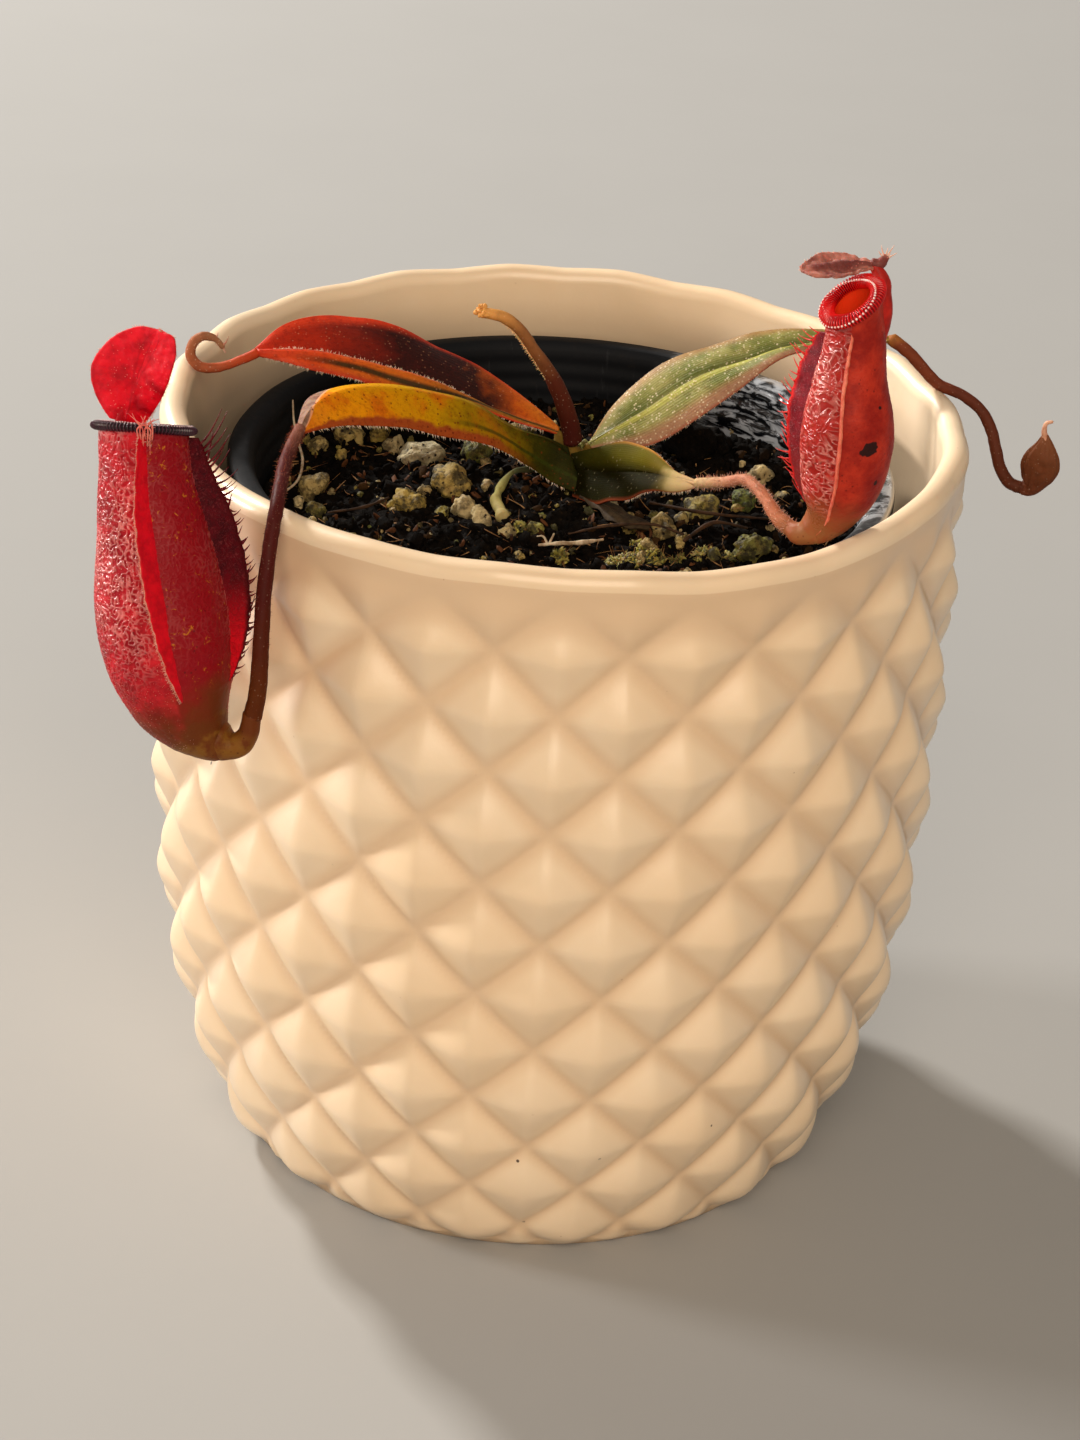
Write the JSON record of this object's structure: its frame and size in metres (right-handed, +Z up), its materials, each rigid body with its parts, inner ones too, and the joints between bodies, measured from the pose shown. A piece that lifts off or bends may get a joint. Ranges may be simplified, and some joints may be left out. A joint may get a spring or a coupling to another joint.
{
  "type": "potted pitcher plant",
  "caption": "Pitcher plant with slender leaves, curling tendrils and hanging lidded pitchers, in a nursery pot inside a cream cachepot with a diamond relief.",
  "frame": {"origin": "middle of the cachepot's flat underside, on the surface that it stands on", "axes": "+Z up along the pot; +X towards the closed brown pitcher; -Y towards the side that both open pitchers lean to"},
  "size_m": [0.1642, 0.145, 0.1856],
  "materials": {
    "glaze": "cream glaze, glossy",
    "black_plastic": "thin black moulded plastic, satin",
    "peat": "dark damp peat",
    "perlite": "pale pitted perlite",
    "stem": "brown green stem",
    "leaf_red": "smooth red leaf with a maroon middle",
    "leaf_orange": "smooth orange yellow leaf",
    "leaf_brown": "smooth brown rolled leaf",
    "leaf_sage": "smooth sage green leaf with reddish margins",
    "leaf_olive": "smooth dark olive leaf",
    "leaf_dead": "dry brown leaf",
    "stub_pale": "pale dry stub",
    "tendril_purple": "smooth purple brown tendril",
    "tendril_brown": "smooth dark brown tendril",
    "tendril_pink": "hairy pinkish tendril",
    "pitcher_crimson": "crinkled glossy crimson skin",
    "pitcher_red": "crinkled red skin",
    "rim_purple": "glossy dark purple ribbed rim",
    "pitcher_brown": "matt brown veined skin"
  },
  "bodies": {
    "root": {"cachepot": "glaze", "nursery_pot": "black_plastic", "soil": "peat", "crown_stem": "stem", "leaf_back_left": "leaf_red", "leaf_front_left": "leaf_orange", "leaf_centre": "leaf_brown", "leaf_back_right": "leaf_sage", "leaf_front_right": "leaf_olive", "leaf_old": "leaf_dead", "leaf_stub": "stub_pale", "tendril_back_left": "leaf_red", "tendril_front_left": "tendril_purple", "tendril_back_right": "tendril_brown", "tendril_front_right": "tendril_pink", "pitcher_left": "pitcher_crimson", "pitcher_right": "pitcher_red", "pitcher_bud": "pitcher_brown"}
  },
  "joints": []
}
